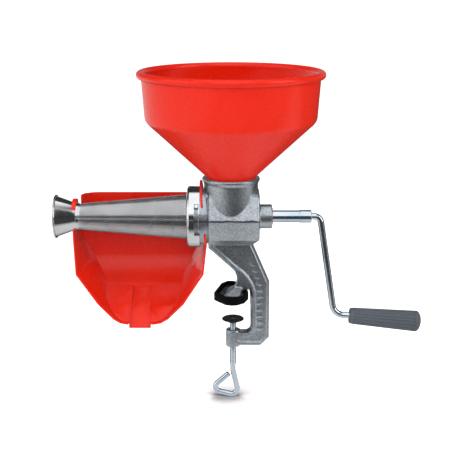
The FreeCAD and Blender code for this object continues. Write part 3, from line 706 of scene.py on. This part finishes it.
# %% Cut the thread
thread_pitch, thread_r, root_r = 1.25, 3.98, 3.35
thread_top, thread_bottom = -31.5, -90.0
screw_x = 2.5
tooth = [(root_r, 0.0), (root_r, 0.16), (thread_r, 0.53), (thread_r, 0.72), (root_r, thread_pitch)]
thread = profile("clamp_bar", [(screw_x + r, 0, thread_bottom + z) for r, z in tooth])
turns = int((thread_top - thread_bottom) / thread_pitch)
only(thread)
bpy.context.scene.cursor.location = (0, 0, 0)
pivot = bpy.data.objects.new("thread_axis", None)
pivot.location = (screw_x * mm, 0, 0)
bpy.context.scene.collection.objects.link(pivot)
bpy.context.view_layer.update()
modify(thread, "SCREW", angle=math.tau, screw_offset=thread_pitch * mm, iterations=turns, steps=20,
       render_steps=20, object=pivot, axis="Z", use_merge_vertices=True, merge_threshold=0.00001)
bpy.data.objects.remove(pivot)
in_edit(thread)
bpy.ops.mesh.remove_doubles(threshold=0.00001)
bpy.ops.mesh.normals_make_consistent(inside=False)
leave_edit()
print("thread turns", turns, "faces", len(thread.data.polygons))

# %% Join the thread to the bent loop
loop = merged_copy("clamp_screw", "loop")
in_edit(loop)
bpy.ops.mesh.bisect(plane_co=(0, 0, (thread_bottom + 0.6) * mm), plane_no=(0, 0, 1),
                    clear_outer=True, use_fill=True)
leave_edit()
core_r, tip_r, tip_z = root_r - 0.03, 2.9, -27.62
core_line = [(0.0, thread_bottom + 0.2), (core_r, thread_bottom + 0.2), (core_r, thread_top + 0.4),
             (tip_r, thread_top + 1.0), (tip_r, -28.2), (2.4, tip_z), (0.0, tip_z)]
core_points = [(screw_x + r, 0, z) for r, z in core_line]
core = turned("core", core_points, (screw_x, 0, 0), (0, 0, 1), 40)
only(thread)
for part in (loop, core):
    part.select_set(True)
bpy.ops.object.join()
settle(thread, "clamp_screw_body", zinc_steel, ["clamp_screw"], 40)

# %% [markdown]
# ## Grip end
# The plastic cap in the end of the grip is a low dome with a rounded shoulder. It is turned from a
# short profile round the grip's own axis, which falls five degrees away from the shaft.

# %% Dome the grip end
fall = math.radians(5.08)
grip_start = Vector((151.3, 0, -24.069))
grip_along = Vector((math.cos(fall), 0, -math.sin(fall)))
grip_up = Vector((math.sin(fall), 0, math.cos(fall)))
dome_base = 83.0
dome = [(0.0, dome_base), (8.8, dome_base), (8.9, 85.9), (13.0, 86.0)]
for i in range(9):
    angle = math.radians(90.0 * i / 8)
    dome.append((9.8 * math.cos(angle) ** 0.9 + 3.4 * (1 - i / 8), 86.1 + 5.4 * math.sin(angle)))
dome_points = [tuple(grip_start + grip_along * along + grip_up * r) for r, along in dome]
grip_end = turned("grip_end", dome_points, grip_start, grip_along, 64)
settle(grip_end, "grip", grey_plastic, ["grip_end_cap"], 40)

# %% [markdown]
# ## Floor and light
# A white table that runs out of sight, with a soft box at each side, one in front and one
# overhead. Bare metal shows what stands round it, so what it mirrors is set apart from what lights
# the rest: the table is bright close to the mill and on its left, the world is dark at eye level,
# and light returns overhead and in strips at the sides. That draws the bands on bare metal. The
# table also darkens where something stands close over it, for a soft contact shadow.

# %% Floor
floor_z = cad_low.z - 0.0002
bpy.ops.object.select_all(action="DESELECT")
bpy.ops.mesh.primitive_plane_add(size=60.0, location=(0.0, 0.0, floor_z))
floor = bpy.context.object
floor.name = "floor"
floor_material, tree, shader, place = new_material("white_table", Roughness=0.9)
shader.inputs["Specular IOR Level"].default_value = 0.0
shader.inputs["Base Color"].default_value = (0.9, 0.9, 0.9, 1.0)
split = tree.nodes.new("ShaderNodeSeparateXYZ")
join(tree, place, split.inputs[0])
mirrored = add(tree, "ShaderNodeEmission")
lit_near = remap(tree, split.outputs["Y"], -0.36, -0.18)
lit_far = remap(tree, split.outputs["Y"], 0.26, 0.02)
lit_left = remap(tree, split.outputs["X"], -0.40, -0.55)
lit = math_node(tree, "MAXIMUM", math_node(tree, "MULTIPLY", lit_near, lit_far), lit_left)
join(tree, math_node(tree, "MULTIPLY_ADD", lit, 0.82, 0.06), mirrored.inputs["Strength"])
closeness = add(tree, "ShaderNodeAmbientOcclusion", samples=16, Distance=0.11)
fill_in = add(tree, "ShaderNodeEmission")
join(tree, remap(tree, closeness.outputs["AO"], 0.78, 0.995, -0.35, 0.75), fill_in.inputs["Strength"])
table = tree.nodes.new("ShaderNodeAddShader")
join(tree, shader.outputs[0], table.inputs[0])
join(tree, fill_in.outputs[0], table.inputs[1])
path = tree.nodes.new("ShaderNodeLightPath")
seen = add(tree, "ShaderNodeMixShader")
join(tree, path.outputs["Is Camera Ray"], seen.inputs[0])
join(tree, shader.outputs[0], seen.inputs[1])
join(tree, table.outputs[0], seen.inputs[2])
blend = add(tree, "ShaderNodeMixShader")
join(tree, path.outputs["Is Glossy Ray"], blend.inputs[0])
join(tree, seen.outputs[0], blend.inputs[1])
join(tree, mirrored.outputs[0], blend.inputs[2])
join(tree, blend.outputs[0], tree.nodes["Material Output"].inputs["Surface"])
floor.data.materials.append(floor_material)
print("floor at", round(floor_z, 4))

# %% What the metal mirrors
world = bpy.data.worlds.new("studio")
bpy.context.scene.world = world
world.use_nodes = True
world.cycles.sampling_method = "NONE"
tree = world.node_tree
tree.nodes.clear()
toward = tree.nodes.new("ShaderNodeTexCoord").outputs["Generated"]
split = tree.nodes.new("ShaderNodeSeparateXYZ")
join(tree, toward, split.inputs[0])
x, y, z = split.outputs
ahead = math_node(tree, "MULTIPLY", y, -1.0)
lift = math_node(tree, "ARCTAN2", z, ahead)
turn = math_node(tree, "ARCTAN2", x, ahead)


def band(value, low, high, soft):
    """1 between two angles in degrees, fading to 0 outside them."""
    rise = remap(tree, value, math.radians(low - soft), math.radians(low))
    drop = remap(tree, value, math.radians(high + soft), math.radians(high))
    return math_node(tree, "MULTIPLY", rise, drop)


not_up = remap(tree, z, 0.85, 0.6)
narrow = remap(tree, math_node(tree, "ABSOLUTE", x), 0.46, 0.32)
canopy = math_node(tree, "MULTIPLY", band(lift, 24, 108, 9), narrow)
overhead = math_node(tree, "MULTIPLY", canopy, 1.45)
wall_behind = math_node(tree, "MULTIPLY", band(lift, 166, 180, 6), 0.3)
left_strip = math_node(tree, "MULTIPLY", band(turn, -92, -42, 8), 1.5)
right_strip = math_node(tree, "MULTIPLY", band(turn, 54, 74, 10), 3.0)
upright = math_node(tree, "MULTIPLY", math_node(tree, "ADD", left_strip, right_strip), not_up)
mirror = math_node(tree, "ADD", math_node(tree, "ADD", overhead, wall_behind), upright)
mirror = math_node(tree, "ADD", mirror, 0.045)
even = add(tree, "ShaderNodeBackground", Color=(1.0, 1.0, 1.0, 1.0), Strength=0.55)
shaped = add(tree, "ShaderNodeBackground", Color=(0.98, 0.99, 1.0, 1.0))
join(tree, mirror, shaped.inputs["Strength"])
path = tree.nodes.new("ShaderNodeLightPath")
blend = add(tree, "ShaderNodeMixShader")
join(tree, path.outputs["Is Glossy Ray"], blend.inputs[0])
join(tree, even.outputs[0], blend.inputs[1])
join(tree, shaped.outputs[0], blend.inputs[2])
ending = tree.nodes.new("ShaderNodeOutputWorld")
join(tree, blend.outputs[0], ending.inputs["Surface"])
print("world ready")


# %% Soft boxes
def soft_box(name, place, target, width, height, power):
    light = bpy.data.lights.new(name, "AREA")
    light.shape = "RECTANGLE"
    light.size = width
    light.size_y = height
    light.energy = power
    lamp = bpy.data.objects.new(name, light)
    lamp.location = place
    lamp.rotation_euler = (Vector(target) - Vector(place)).to_track_quat("-Z", "Y").to_euler()
    lamp.visible_glossy = False
    bpy.context.scene.collection.objects.link(lamp)


soft_box("left_box", (-1.5, -0.85, 0.85), (-0.05, 0.0, 0.1), 0.9, 1.4, 10.5)
soft_box("right_box", (1.5, -0.85, 0.85), (0.0, 0.0, 0.1), 0.9, 1.4, 10.0)
soft_box("front_box", (0.0, -1.9, 1.1), (0.0, 0.0, 0.1), 1.6, 1.0, 11.0)
soft_box("top_box", (0.0, -0.5, 2.0), (0.0, 0.0, 0.1), 2.0, 1.2, 6.0)
bpy.context.scene.view_settings.view_transform = "Standard"
print("studio ready")
